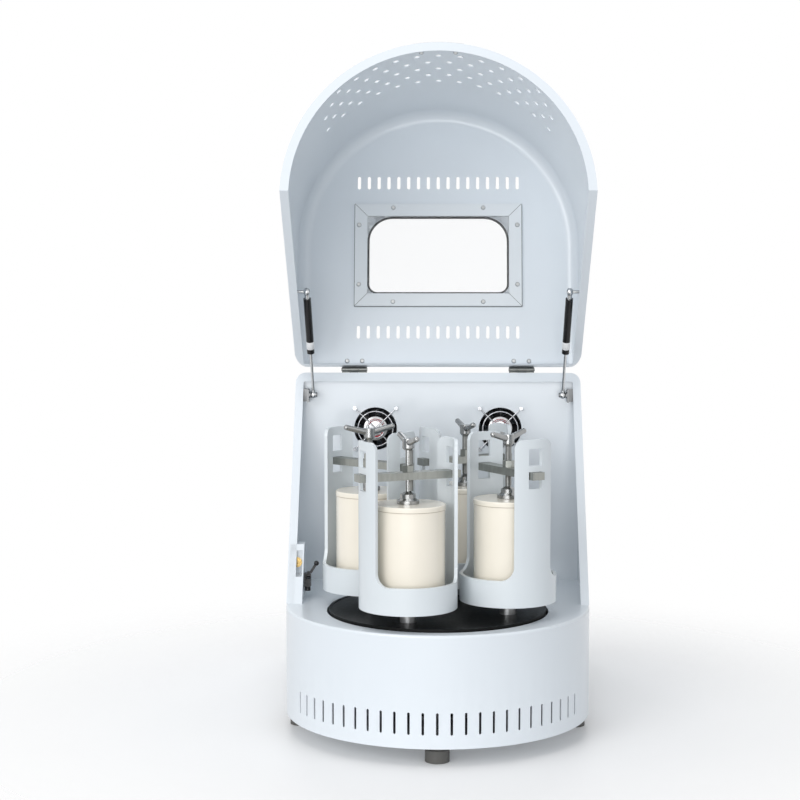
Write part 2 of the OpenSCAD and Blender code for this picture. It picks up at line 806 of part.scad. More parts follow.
module control_panel() {
    place() color(dark_steel) {
        difference() {
            translate([-panel_w / 2, panel_y - panel_d / 2, panel_z]) cube([panel_w, panel_d, panel_t]);
            // Bores for the knob's and the button's stems, and a bare display recess
            for (x = [knob_x, stop_x]) translate([x, panel_y, panel_z - cut])
                cylinder(d = 12, h = panel_t + 2 * cut, $fn = 48);
            translate([-90, panel_y - 22, panel_z + panel_t - 1]) cube([70, 44, 1 + cut]);
        }
        panel_screw_spots() translate([0, 0, panel_z - sheet]) {
            cylinder(d = 4, h = panel_t + sheet, $fn = 24);
            translate([0, 0, panel_t + sheet]) cylinder(d = 7.5, h = 2, $fn = 32);
        }
        // Contact block under each control
        for (x = [knob_x, stop_x]) translate([x, panel_y, panel_z - 22]) difference() {
            cylinder(d = 22, h = 22, $fn = 48);
            translate([0, 0, 10]) cylinder(d = 12, h = 12 + cut, $fn = 48);
        }
    }
}

stem_d = 12 - 4 * run_gap;

module speed_knob() {
    top = panel_z + panel_t;
    place() color(black) translate([knob_x, panel_y, top + rest_gap]) difference() {
        union() {
            cylinder(d = knob_d, h = 9, $fn = 64);
            cylinder(d = knob_d - 5, h = 11, $fn = 64);
            translate([0, 0, -panel_t - 8]) cylinder(d = stem_d, h = panel_t + 9, $fn = 48);
        }
        // Pointer groove
        translate([-0.8, 4, 10]) cube([1.6, knob_d, 2]);
        for (a = [0:20:359]) rotate([0, 0, a]) translate([knob_d / 2 + 0.4, 0, -cut])
            cylinder(d = 2.4, h = 9, $fn = 16);
    }
}

module stop_button() {
    top = panel_z + panel_t;
    place() color("red") translate([stop_x, panel_y, top]) {
        translate([0, 0, stop_travel + 1]) cylinder(d = stop_d, h = 4, $fn = 64);
        translate([0, 0, stop_travel + 5]) cylinder(d1 = stop_d, d2 = stop_d - 9, h = 3, $fn = 64);
        translate([0, 0, -panel_t - 4]) cylinder(d = stem_d, h = panel_t + stop_travel + 6, $fn = 48);
    }
}

inlet_x = body_r - 85;
inlet_z = base_z + 80;
inlet_w = 27;
inlet_h = 48;

module inlet_cut() {
    translate([inlet_x - inlet_w / 2, rear_y - 2 * sheet, inlet_z - inlet_h / 2])
        cube([inlet_w, 4 * sheet, inlet_h]);
}

// Appliance inlet with three pins in a deep cup, flush screws above and below
module power_inlet() {
    fit = 0.2;
    w = inlet_w - 2 * fit;
    h = inlet_h - 2 * fit;
    place() color(black) difference() {
        union() {
            translate([inlet_x - w / 2, rear_y - 24, inlet_z - h / 2]) cube([w, 24, h]);
            translate([inlet_x - w / 2 - 1, rear_y - sheet - 3, inlet_z - h / 2 - 6])
                cube([w + 2, 3, h + 12]);
        }
        difference() {
            translate([inlet_x - 12, rear_y - 16, inlet_z - 11]) cube([24, 16 + cut, 22]);
            for (p = [[-7, -3], [7, -3], [0, 4]])
                translate([inlet_x + p[0] - 1, rear_y - 17, inlet_z + p[1] - 2]) cube([2, 14, 4]);
        }
    }
}

// Drive under the deck

pulley_z = floor_top + 8;
pulley_h = belt_w + 8;
plate_z = pulley_z + pulley_h + 8;
plate_t = 10;
gear_z = deck_z - 51;
post_ring = 85;

// Straight-sided teeth, thinned for backlash
module gear_2d(teeth) {
    pitch_r = gear_m * teeth / 2;
    half_pitch = 180 / teeth;
    tip = pitch_r + 0.82 * gear_m;
    root = pitch_r - 1.2 * gear_m;
    half_tip = asin(0.3 * gear_m / tip);
    half_root = asin(1.1 * gear_m / root);
    tooth = [[root, -half_root], [tip, -half_tip], [tip, half_tip], [root, half_root]];
    polygon([for (i = [0:teeth - 1], p = tooth)
        [p[0] * cos(2 * i * half_pitch + p[1]), p[0] * sin(2 * i * half_pitch + p[1])]]);
}

// Bearing housing on four posts, with the fixed sun gear bolted to its top
module sun_gear_housing() {
    bore = shaft_d + 2 * run_gap;
    place() color(steel) difference() {
        union() {
            for (a = [0:90:270]) rotate([0, 0, a]) translate([post_ring, 0, floor_top])
                cylinder(d = 14, h = plate_z - floor_top + cut, $fn = 48);
            translate([0, 0, plate_z]) cylinder(r = post_ring + 12, h = plate_t, $fn = 96);
            translate([0, 0, plate_z]) cylinder(d = 80, h = gear_z - plate_z + gear_t, $fn = 96);
            translate([0, 0, gear_z]) rotate([0, 0, planet_dir[0]])
                linear_extrude(gear_t) gear_2d(sun_teeth);
        }
        translate([0, 0, plate_z - cut]) cylinder(d = bore, h = deck_z, $fn = 96);
        for (a = [45:90:315]) rotate([0, 0, a]) translate([55, 0, gear_z - cut])
            cylinder(d = 18, h = gear_t + 2 * cut, $fn = 48);
    }
}

module v_pulley(r, bore) {
    difference() {
        cylinder(r = r + 5, h = pulley_h, $fn = 96);
        // Groove for the belt
        translate([0, 0, 4]) difference() {
            cylinder(r = r + 6, h = belt_w, $fn = 96);
            translate([0, 0, -cut]) cylinder(r = r, h = belt_w + 2 * cut, $fn = 96);
        }
        if (bore > 0) translate([0, 0, -cut]) cylinder(d = bore, h = pulley_h + 2 * cut, $fn = 64);
    }
}

// Main shaft with its driven pulley keyed on below and a flange under the disc
module main_shaft() {
    flange_z = gear_z + gear_t + 3;
    place() color(steel) {
        translate([0, 0, floor_top + 4])
            cylinder(d = shaft_d, h = disc_top - disc_t - floor_top - 4, $fn = 96);
        translate([0, 0, pulley_z]) v_pulley(driven_r, shaft_d - 2);
        translate([0, 0, flange_z]) cylinder(d = 2 * shaft_d + 4, h = disc_top - disc_t - flange_z, $fn = 96);
        // Centre bolt through the disc
        translate([0, 0, disc_top - disc_t - cut]) cylinder(d = 11.8, h = disc_t + 3, $fn = 48);
        translate([0, 0, disc_top - 1]) cylinder(d = 19, h = 7.5, $fn = 6);
    }
}

module turntable() {
    boss_h = disc_top - disc_t - gear_z - gear_t - 1;
    place() color(black) difference() {
        union() {
            translate([0, 0, disc_top - disc_t]) cylinder(r = disc_r, h = disc_t - 1.5, $fn = 180);
            translate([0, 0, disc_top - 2]) difference() {
                cylinder(r = disc_r, h = 2, $fn = 180);
                // A thin rim stands proud of the disc's face
                translate([0, 0, 1]) cylinder(r = disc_r - 4, h = 2, $fn = 180);
            }
            for (k = [0:3]) at_planet(k) translate([0, 0, disc_top - disc_t - boss_h])
                cylinder(d = planet_shaft_d * 2, h = boss_h + cut, $fn = 64);
        }
        translate([0, 0, disc_top - disc_t - cut]) cylinder(d = 12, h = disc_t + 2 * cut, $fn = 48);
        for (k = [0:3]) at_planet(k) translate([0, 0, gear_z])
            cylinder(d = planet_shaft_d + 2 * run_gap, h = disc_top, $fn = 64);
    }
}

// Planet shaft, with its gear under the disc and a flange under the carrier
module planet_shaft(k) {
    half_tooth = 180 / planet_teeth;
    place() color(steel) at_planet(k) {
        translate([0, 0, gear_z]) cylinder(d = planet_shaft_d, h = carrier_z - gear_z - cut, $fn = 64);
        translate([0, 0, gear_z]) rotate([0, 0, planet_dir[k] + 180 + half_tooth])
            linear_extrude(gear_t) gear_2d(planet_teeth);
        translate([0, 0, carrier_z - 6]) cylinder(d = 2.5 * planet_shaft_d, h = 6, $fn = 64);
        // Spigot that centres the carrier
        translate([0, 0, carrier_z - cut]) cylinder(d = 19.8, h = carrier_floor + cut / 2, $fn = 48);
    }
}

module drive_motor() {
    z0 = plate_z + 14;
    place() color(dark_steel) translate([0, motor_y, 0]) difference() {
        union() {
            translate([0, 0, z0]) cylinder(d = motor_d, h = motor_h, $fn = 96);
            translate([0, 0, z0 - 10]) cylinder(d = motor_d + 24, h = 12, $fn = 96);
            for (a = [0:15:359]) rotate([0, 0, a])
                translate([motor_d / 2 - 2, -1.5, z0 + 12]) cube([8, 3, motor_h - 40]);
            translate([-motor_d / 2 - 30, -35, z0 + 60]) cube([40, 70, 60]);
            for (a = [45:90:315]) rotate([0, 0, a])
                translate([motor_d / 2 + 4, 0, floor_top]) cylinder(d = 12, h = z0 - floor_top, $fn = 32);
        }
        translate([0, 0, z0 - 11]) cylinder(d = 19 + 2 * run_gap, h = 50, $fn = 64);
    }
}

module motor_pulley() {
    place() color(steel) translate([0, motor_y, 0]) {
        translate([0, 0, pulley_z]) v_pulley(motor_pulley_r, 0);
        translate([0, 0, pulley_z + pulley_h - cut]) cylinder(d = 19, h = 44, $fn = 64);
    }
}

// Belt loop: the outline round both pulleys less the same outline one belt smaller
belt_lean = asin((driven_r - motor_pulley_r) / motor_y);

function arc_pts(r, y, from, to) = [
    for (i = [0:24]) let (a = from + (to - from) * i / 24) [r * cos(a), y + r * sin(a)]
];

module belt_2d(grow) {
    polygon(concat(
        arc_pts(motor_pulley_r + grow, motor_y, belt_lean, 180 - belt_lean),
        arc_pts(driven_r + grow, 0, 180 - belt_lean, 360 + belt_lean)
    ));
}

module drive_belt() {
    gap = rest_gap;
    place() color(black) translate([0, 0, pulley_z + 4 + gap]) linear_extrude(belt_w - 2 * gap)
        difference() {
            belt_2d(gap + 4.2);
            belt_2d(gap + 0.2);
        }
}

inverter_size = [90, 130, base_h - 20];
fin_n = 10;
fin_step = 12;

module inverter() {
    place() color(dark_steel)
        translate([body_r - 25 - inverter_size[0], motor_y - inverter_size[1] / 2 + 5, floor_top])
            difference() {
                cube(inverter_size);
                // Cooling fins towards the motor
                for (i = [0:fin_n - 1]) translate([-cut, 10 + i * fin_step, 15])
                    cube([6, 5, inverter_size[2] - 30]);
            }
}

// Planet carriers, jars and clamps

module carrier_frame(k) {
    at_planet(k) translate([0, 0, carrier_z]) rotate([0, 0, bar_dir[k]]) children();
}

// A wedge of the carrier's wall, between two angles seen from above
module wall_wedge(a0, a1, z0, z1) {
    rotate([0, 0, a0]) translate([0, 0, z0]) rotate_extrude(angle = a1 - a0, $fn = 180)
        translate([carrier_r - 2 * carrier_wall, 0]) square([4 * carrier_wall, z1 - z0]);
}

module carrier(k) {
    top = carrier_h;
    open_from = upright_half;
    open_to = 180 - upright_half;
    window_z = [slot_low, slot_low + slot_h + slot_bridge];
    place() color(paint) carrier_frame(k) difference() {
        cylinder(r = carrier_r, h = top, $fn = 180);
        translate([0, 0, carrier_floor]) cylinder(r = carrier_r - carrier_wall, h = top, $fn = 180);
        translate([0, 0, -cut]) cylinder(d = 20, h = carrier_floor + 2 * cut, $fn = 48);
        for (turn = [0, 180]) rotate([0, 0, turn]) {
            // Opening between the uprights, rounded at its lower corners
            difference() {
                wall_wedge(open_from, open_to, low_wall_h, top + cut);
                rotate([0, 0, open_from]) cut_corner(cut_r, low_wall_h, 1);
                rotate([0, 0, open_to]) cut_corner(cut_r, low_wall_h, -1);
            }
            // Rounded top corners of one upright
            rotate([0, 0, upright_half]) top_corner(-1);
            rotate([0, 0, -upright_half]) top_corner(1);
            for (z = window_z) wall_wedge(-slot_half, slot_half, z, z + slot_h);
        }
    }
}

// Centre of a corner's round, set in a little so that it crosses the flat faces
round_in = 0.995;

// Square block less a round, along the radius: fills the foot of the opening
module cut_corner(r, z, dir) {
    translate([carrier_r - 3 * carrier_wall, 0, z]) rotate([90, 0, 90])
        linear_extrude(6 * carrier_wall) difference() {
            translate([dir > 0 ? -2 : -r, -2]) square([r + 2, r + 2]);
            translate([dir * r * round_in, r * round_in]) circle(r = r, $fn = 64);
        }
}

module top_corner(dir) {
    translate([carrier_r - 3 * carrier_wall, 0, carrier_h - top_r]) rotate([90, 0, 90])
        linear_extrude(6 * carrier_wall) difference() {
            translate([dir > 0 ? -cut : -top_r * round_in, top_r * (1 - round_in)])
                square([top_r * round_in + cut, top_r + cut]);
            translate([dir * top_r * round_in, top_r * (1 - round_in)]) circle(r = top_r, $fn = 64);
        }
}

module at_jar(k) {
    shift = k == 0 ? front_jar_shift : 0;
    at_planet(k) translate([shift, 0, carrier_z + carrier_floor]) children();
}

jar_body_h = jar_h - jar_lid_h;

module jar(k) {
    place() color(ceramic) at_jar(k) rotate_extrude($fn = 120) difference() {
        union() {
            translate([0, jar_round]) square([jar_d / 2, jar_body_h - jar_round]);
            square([jar_d / 2 - jar_round, jar_body_h]);
            translate([jar_d / 2 - jar_round, jar_round]) circle(r = jar_round, $fn = 48);
        }
        translate([-cut, jar_wall]) square([jar_d / 2 - jar_wall + cut, jar_body_h]);
        translate([-jar_d, -cut]) square([jar_d, jar_h + 2 * cut]);
    }
}

module jar_lid(k) {
    fit = 0.4;
    place() color(ceramic) at_jar(k) translate([0, 0, jar_body_h]) {
        cylinder(d = jar_d + 1.6, h = jar_lid_h - 1.5, $fn = 120);
        translate([0, 0, jar_lid_h - 1.5])
            cylinder(d1 = jar_d + 1.6, d2 = jar_d - 1.4, h = 1.5, $fn = 120);
        translate([0, 0, -6]) cylinder(d = jar_d - 2 * jar_wall - 2 * fit, h = 6 + cut, $fn = 120);
    }
}

bar_top = slot_low + slot_h - rest_gap;

module clamp_bar(k) {
    place() color(steel) carrier_frame(k) difference() {
        union() {
            translate([-bar_len / 2, -bar_w / 2, bar_top - bar_h]) cube([bar_len, bar_w, bar_h]);
            translate([0, 0, bar_top - cut]) cylinder(d = nut_w / cos(30), h = nut_h + cut, $fn = 6);
        }
        translate([0, 0, bar_top - bar_h - cut])
            cylinder(d = screw_d + 4 * run_gap, h = bar_h + nut_h + 2 * cut, $fn = 64);
    }
}

// Screw with a two-stage foot flange below and a wing handle above
module clamp_screw(k) {
    foot_z = carrier_floor + jar_h + rest_gap;
    arm_z = hub_z + 8;
    arm_tilt = atan2(arm_len - 6, arm_rise - 3);
    place() color(steel) at_planet(k) translate([0, 0, carrier_z]) {
        translate([0, 0, foot_z]) {
            cylinder(d = foot_flange_d, h = 5, $fn = 64);
            translate([0, 0, 5])
                cylinder(d1 = foot_flange_d - 4, d2 = foot_flange_d - 10, h = 3, $fn = 64);
            translate([0, 0, 8]) cylinder(d = foot_flange_d - 11, h = 6, $fn = 64);
            translate([0, 0, 14]) cylinder(d1 = foot_flange_d - 14, d2 = screw_d, h = 4, $fn = 64);
        }
        translate([0, 0, foot_z + cut]) cylinder(d = screw_d, h = hub_z - foot_z, $fn = 64);
        translate([0, 0, hub_z]) cylinder(d = 17, h = 14, $fn = 48);
        translate([0, 0, hub_z - 3]) cylinder(d1 = 12, d2 = 17, h = 3, $fn = 48);
        for (turn = [0, 180]) rotate([0, 0, arm_dir[k] + turn]) translate([5, 0, arm_z])
            rotate([0, arm_tilt, 0]) {
                cylinder(d1 = 10, d2 = 8, h = arm_len - 8, $fn = 32);
                translate([0, 0, arm_len - 8]) sphere(d = 8.6, $fn = 32);
            }
    }
}

// Lid, drawn closed

module lid_profile(inset, drop) {
    r = roof_round - inset;
    half = body_r - inset;
    top = roof_out - inset - rim_z + drop;
    square([half, top - r]);
    square([half - r, top]);
    translate([half - r, top - r]) circle(r = r, $fn = 64);
}

// Plan of the lid, with the rounded rear corners
module lid_plan(inset) {
    half = body_r - inset;
    r = max(corner_r - inset, 3);
    y_end = lid_back - inset;
    intersection() {
        translate([0, arc_y]) circle(r = half, $fn = 180);
        translate([-body_w, arc_y - body_w]) square([2 * body_w, body_w + cut]);
    }
    translate([-half, arc_y]) square([2 * half, y_end - r - arc_y]);
    translate([-half + r, arc_y]) square([2 * (half - r), y_end - arc_y]);
    for (side = [-1, 1]) translate([side * (half - r), y_end - r]) circle(r = r, $fn = 64);
}

module lid_block(inset, drop) {
    intersection() {
        translate([0, 0, rim_z - drop]) swept(lid_back - arc_y) lid_profile(inset, drop);
        translate([0, 0, rim_z - 2 * cut]) linear_extrude(roof_out - rim_z + 3 * cut) lid_plan(inset);
    }
}

module lid_vents() {
    for (row = [0:4]) {
        odd = row % 2;
        // The row next to the rim is one hole shorter at each end
        side_n = row == 0 ? 5 : 6;
        for (j = [-side_n:side_n - odd]) translate([0, arc_y, rim_z + hole_first + row * hole_row])
            rotate([0, 0, (j + odd / 2) * hole_step]) translate([0, 3 * sheet - body_r, 0])
                rotate([90, 0, 0]) cylinder(d = hole_d, h = 6 * sheet, $fn = 32);
    }
    for (u = roof_slot_rows, i = [0:roof_slot_n - 1])
        translate([(i - (roof_slot_n - 1) / 2) * roof_slot_step, hinge_y - u, roof_in - 2 * cut])
            linear_extrude(sheet + 4 * cut) slot_2d(roof_slot_w, roof_slot_len);
}

open_w = window_w - 2 * strip_w;
open_d = window_d - 2 * strip_w;

// Window opening, its front corners rounder than its rear ones
module opening_2d() {
    for (end = [-1, 1]) {
        r = end < 0 ? window_r_front : window_r_rear;
        translate([-open_w / 2 + r, end > 0 ? 0 : -open_d / 2]) square([open_w - 2 * r, open_d / 2]);
        translate([-open_w / 2, end > 0 ? 0 : r - open_d / 2]) square([open_w, open_d / 2 - r]);
        for (side = [-1, 1]) translate([side * (open_w / 2 - r), end * (open_d / 2 - r)])
            circle(r = r, $fn = 64);
    }
}

strip_x = window_w / 2 - 7;
strip_y = window_d / 2 - 7;

module window_screw_spots() {
    translate([0, hinge_y - window_u, 0]) for (side = [-1, 1], end = [-1, 1]) {
        translate([side * 75.3, end * (strip_y + 0.2), 0]) children();
        translate([side * strip_x, end * 50.6, 0]) children();
    }
}

strut_stud = [hinge_y - strut_up_fwd, hinge_z - strut_up_drop];
stud_x = strut_x + strut_lean + eye_w / 2 + rest_gap;
stud_len = wall_in - stud_x;
grip_z = rim_z + 40;
grip_turn = 6.4;
grip_t = 3;

// Draws along +Z from the curved wall's outer face inwards
module grip_rivet_spots() {
    for (turn = [-grip_turn, grip_turn]) translate([0, arc_y, grip_z])
        rotate([0, 0, turn]) translate([0, -body_r, 0]) rotate([-90, 0, 0]) children();
}

module lid_shell() {
    place() opened() color(paint) difference() {
        union() {
            difference() {
                lid_block(0, 0);
                lid_block(sheet, cut);
            }
            // Rim flange at the front, and the flange along the slant
            intersection() {
                difference() {
                    translate([0, 0, rim_z]) linear_extrude(roof_in - rim_z) lid_plan(sheet / 2);
                    translate([0, 0, rim_z - cut]) linear_extrude(roof_out) {
                        lid_plan(flange_w);
                        translate([flange_w - body_r, arc_y])
                            square([body_w - 2 * flange_w, lid_back - arc_y]);
                    }
                }
                union() {
                    slant_slab(0, rim_gap / 2 + sheet);
                    translate([-body_w, front_y, rim_z])
                        cube([2 * body_w, slant_y + sheet - front_y, sheet]);
                }
            }
            // Stiffening strip under the roof, in front of the hinges
            translate([-body_r + roof_round, hinge_y - 36.6, roof_in - 1.5])
                cube([body_w - 2 * roof_round, 25.6, 1.5 + sheet / 2]);
        }
        slant_slab(-slant_len, rim_gap / 2);
        lid_vents();
        translate([0, hinge_y - window_u, roof_in - cut]) linear_extrude(sheet + 2 * cut) opening_2d();
        window_screw_spots() translate([0, 0, roof_in - cut])
            cylinder(d = 4.2, h = sheet + 2 * cut, $fn = 24);
        both_sides() {
            rivet_spots() translate([0, 0, roof_in - 3 * cut])
                cylinder(d = rivet_d, h = sheet + 4 * cut, $fn = 32);
            translate([wall_in - cut, strut_stud[0], strut_stud[1]]) rotate([0, 90, 0])
                cylinder(d = stud_d, h = sheet + 2 * cut, $fn = 32);
        }
        grip_rivet_spots() translate([0, 0, -cut]) cylinder(d = 4, h = sheet + 2 * cut, $fn = 24);
    }
}

strip_z = roof_in - strip_t;
pane_w = open_w + 19;
pane_d = open_d + 19;

// Four strips with mitred ends, rebated for the pane
module window_frame() {
    a = window_w / 2;
    b = window_d / 2;
    g = rest_gap;
    place() opened() color(black) translate([0, hinge_y - window_u, 0]) difference() {
        translate([0, 0, strip_z]) linear_extrude(strip_t) for (end = [0, 1]) {
            mirror([0, end]) polygon([
                [-a + g, b], [a - g, b], [a - strip_w - g, b - strip_w], [-a + strip_w + g, b - strip_w]
            ]);
            mirror([end, 0]) polygon([
                [a, b - g], [a - strip_w, b - strip_w - g], [a - strip_w, -b + strip_w + g], [a, -b + g]
            ]);
        }
        translate([-pane_w / 2 - g, -pane_d / 2 - g, roof_in - pane_t])
            cube([pane_w + 2 * g, pane_d + 2 * g, pane_t + cut]);
        translate([0, window_u - hinge_y, 0]) window_screw_spots()
            translate([0, 0, strip_z - cut]) cylinder(d = 4.2, h = strip_t + 2 * cut, $fn = 24);
    }
}

module window_pane() {
    place() opened() color([0.85, 0.92, 0.95, 0.5])
        translate([-pane_w / 2, hinge_y - window_u - pane_d / 2, roof_in - pane_t])
            cube([pane_w, pane_d, pane_t]);
}

// Screws, rivets and studs of the lid, and its grip strip
module lid_fasteners() {
    place() opened() color(steel) {
        window_screw_spots() {
            translate([0, 0, strip_z - 2.2]) cylinder(d1 = 5, d2 = 8, h = 2.2, $fn = 32);
            translate([0, 0, strip_z - cut]) cylinder(d = 4, h = strip_t + sheet + cut + 2.5, $fn = 24);
            translate([0, 0, roof_out]) cylinder(d = 8, h = 2.8, $fn = 6);
        }
        both_sides() {
            rivet_spots() {
                translate([0, 0, roof_in - 3.3]) cylinder(d1 = 5, d2 = 8, h = 1.8, $fn = 32);
                translate([0, 0, roof_in - 2]) cylinder(d = rivet_d, h = sheet + leaf_t + 3, $fn = 32);
                translate([0, 0, roof_out + leaf_t]) cylinder(d1 = 8, d2 = 5, h = 1.8, $fn = 32);
            }
            translate([stud_x, strut_stud[0], strut_stud[1]])
                rotate([0, 90, 0]) {
                    cylinder(d = stud_d, h = stud_len + sheet, $fn = 48);
                    translate([0, 0, stud_len - 6]) cylinder(d = 12, h = 6, $fn = 6);
                }
        }
        grip_rivet_spots() {
            translate([0, 0, -grip_t]) cylinder(d = 4, h = grip_t + sheet + 1, $fn = 24);
            translate([0, 0, sheet + run_gap]) cylinder(d1 = 8, d2 = 5, h = 2.2, $fn = 32);
        }
        // Grip strip bent to the front wall, with a lip to lift by
        translate([0, arc_y, grip_z - 11]) rotate([0, 0, 270 - 9]) rotate_extrude(angle = 18, $fn = 180)
            translate([body_r + run_gap, 0]) {
                square([grip_t, 22]);
                square([10, grip_t]);
            }
    }
}

base_shell();
base_floor();
deck_plate();
chamber_shell();
rear_cover();
feet();
fan_frames();
fan_guards();
fan_rotor_left();
fan_rotor_right();
hinge_body_leaves();
strut_brackets();
interlock_box();
interlock_catch();
limit_switch();
limit_lever();
sun_gear_housing();
drive_motor();
motor_pulley();
drive_belt();
inverter();
control_panel();
speed_knob();
stop_button();
power_inlet();
lid_shell();
window_frame();
window_pane();
lid_fasteners();
hinge_lid_leaves();
strut_cylinder_left();
strut_cylinder_right();
strut_rod_left();
strut_rod_right();
turntable();
main_shaft();
carrier(0);  // carrier_1
carrier(1);  // carrier_2
carrier(2);  // carrier_3
carrier(3);  // carrier_4
planet_shaft(0);  // planet_shaft_1
planet_shaft(1);  // planet_shaft_2
planet_shaft(2);  // planet_shaft_3
planet_shaft(3);  // planet_shaft_4
jar(0);  // jar_1
jar(1);  // jar_2
jar(2);  // jar_3
jar(3);  // jar_4
jar_lid(0);  // jar_lid_1
jar_lid(1);  // jar_lid_2
jar_lid(2);  // jar_lid_3
jar_lid(3);  // jar_lid_4
clamp_bar(0);  // clamp_bar_1
clamp_bar(1);  // clamp_bar_2
clamp_bar(2);  // clamp_bar_3
clamp_bar(3);  // clamp_bar_4
clamp_screw(0);  // clamp_screw_1
clamp_screw(1);  // clamp_screw_2
clamp_screw(2);  // clamp_screw_3
clamp_screw(3);  // clamp_screw_4
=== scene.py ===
import math

import bpy
from mathutils import Matrix, Vector


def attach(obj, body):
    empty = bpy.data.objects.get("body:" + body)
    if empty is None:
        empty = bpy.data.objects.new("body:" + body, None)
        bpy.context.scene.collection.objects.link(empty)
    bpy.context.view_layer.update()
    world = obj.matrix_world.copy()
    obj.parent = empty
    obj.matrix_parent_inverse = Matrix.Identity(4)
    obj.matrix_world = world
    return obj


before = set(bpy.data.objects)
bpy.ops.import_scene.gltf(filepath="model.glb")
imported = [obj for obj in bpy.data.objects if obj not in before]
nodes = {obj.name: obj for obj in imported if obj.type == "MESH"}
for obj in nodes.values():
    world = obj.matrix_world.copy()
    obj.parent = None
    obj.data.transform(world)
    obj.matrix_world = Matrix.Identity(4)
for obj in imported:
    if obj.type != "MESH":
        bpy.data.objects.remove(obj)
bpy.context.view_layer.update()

# Places of the mill in the row frame, in metres
HINGE = Vector((0.0, 0.068, 0.542))
LID_OPEN = math.radians(102)


# Materials


def node(tree, kind, **inputs):
    """A new node with some of its inputs set; an underscore stands for a space."""
    n = tree.nodes.new(kind)
    for name, value in inputs.items():
        n.inputs[name.replace("_", " ")].default_value = value
    return n


def material(
    name,
    color,
    rough=0.4,
    metal=0.0,
    vary=0.03,
    vary_scale=6.0,
    bump=0.02,
    bump_scale=400.0,
    stretch=(1, 1, 1),
    coat=0.0,
    coat_rough=0.1,
    rough_vary=0.0,
    spec=0.5,
):
    """A procedural paint, metal or plastic: cloudy colour, fine bump and slightly uneven gloss."""
    m = bpy.data.materials.new(name)
    m.use_nodes = True
    t = m.node_tree
    bsdf = t.nodes["Principled BSDF"]
    bsdf.inputs["Metallic"].default_value = metal
    bsdf.inputs["Roughness"].default_value = rough
    bsdf.inputs["Coat Weight"].default_value = coat
    bsdf.inputs["Coat Roughness"].default_value = coat_rough
    bsdf.inputs["Specular IOR Level"].default_value = spec
    place = t.nodes.new("ShaderNodeTexCoord")
    mapping = node(t, "ShaderNodeMapping", Scale=stretch)
    t.links.new(place.outputs["Object"], mapping.inputs["Vector"])
    clouds = node(t, "ShaderNodeTexNoise", Scale=vary_scale, Detail=4.0)
    t.links.new(mapping.outputs["Vector"], clouds.inputs["Vector"])
    ramp = t.nodes.new("ShaderNodeValToRGB")
    ramp.color_ramp.elements[0].position = 0.3
    ramp.color_ramp.elements[1].position = 0.7
    ramp.color_ramp.elements[0].color = [c * (1 - vary) for c in color] + [1]
    ramp.color_ramp.elements[1].color = [min(1, c * (1 + vary)) for c in color] + [1]
    t.links.new(clouds.outputs["Fac"], ramp.inputs["Fac"])
    t.links.new(ramp.outputs["Color"], bsdf.inputs["Base Color"])
    grain = node(t, "ShaderNodeTexNoise", Scale=bump_scale, Detail=3.0)
    t.links.new(mapping.outputs["Vector"], grain.inputs["Vector"])
    if bump:
        b = node(t, "ShaderNodeBump", Strength=bump, Distance=0.001)
        t.links.new(grain.outputs["Fac"], b.inputs["Height"])
        t.links.new(b.outputs["Normal"], bsdf.inputs["Normal"])
    if rough_vary:
        spread = node(t, "ShaderNodeMapRange", To_Min=rough - rough_vary, To_Max=rough + rough_vary)
        t.links.new(grain.outputs["Fac"], spread.inputs["Value"])
        t.links.new(spread.outputs["Result"], bsdf.inputs["Roughness"])
    return m


paint = material(
    "powder_coat", (0.755, 0.805, 0.85), 0.32, bump=0.05, bump_scale=900, coat=0.35, coat_rough=0.12,
    vary=0.012,
)
carrier_paint = material(
    "carrier_coat", (0.71, 0.76, 0.79), 0.34, bump=0.05, bump_scale=800, coat=0.25, vary=0.015,
)
rubber = material("rubber_black", (0.012, 0.012, 0.013), 0.7, bump=0.2, bump_scale=600)
foot_rubber = material("rubber_grey", (0.10, 0.098, 0.092), 0.75, bump=0.2, bump_scale=500)
plastic = material("plastic_black", (0.010, 0.010, 0.011), 0.38, bump=0.08, bump_scale=700)
wire = material("wire_chrome", (0.50, 0.51, 0.53), 0.24, metal=1.0, bump=0.0, rough_vary=0.04)
rotor = material("rotor_black", (0.018, 0.018, 0.02), 0.35, bump=0.03)
hinge_steel = material(
    "hinge_steel", (0.16, 0.165, 0.16), 0.34, metal=1.0, bump=0.1, stretch=(1, 20, 20), vary=0.12,
    rough_vary=0.08,
)
zinc = material(
    "zinc_plate", (0.52, 0.53, 0.53), 0.30, metal=1.0, vary=0.08, vary_scale=40, rough_vary=0.06,
)
bracket_steel = material(
    "bracket_steel", (0.20, 0.205, 0.21), 0.42, metal=1.0, vary=0.08, vary_scale=40, rough_vary=0.06,
)
brass = material("brass", (0.62, 0.44, 0.18), 0.22, metal=1.0, vary=0.06, rough_vary=0.05)
machined = material(
    "machined_steel", (0.42, 0.43, 0.44), 0.30, metal=1.0, vary=0.06, rough_vary=0.06,
    stretch=(1, 1, 14), bump=0.05,
)
turned = material(
    "turned_aluminium", (0.60, 0.61, 0.62), 0.28, metal=1.0, rough_vary=0.05, stretch=(1, 1, 14),
)
motor_paint = material("motor_paint", (0.035, 0.045, 0.055), 0.45, bump=0.06)
grey_plastic = material("plastic_grey", (0.05, 0.052, 0.055), 0.5, bump=0.08)
panel_plastic = material("panel_film", (0.020, 0.022, 0.026), 0.42, bump=0.1, bump_scale=1200)
knob_plastic = material("knob_black", (0.012, 0.012, 0.013), 0.24, bump=0.02)
stop_red = material("stop_red", (0.52, 0.014, 0.010), 0.25, bump=0.01, coat=0.3)
strip_white = material("strip_white", (0.76, 0.80, 0.83), 0.30, bump=0.03, coat=0.2, vary=0.02)
strut_black = material("strut_black", (0.007, 0.007, 0.008), 0.26, bump=0.02, spec=0.35)
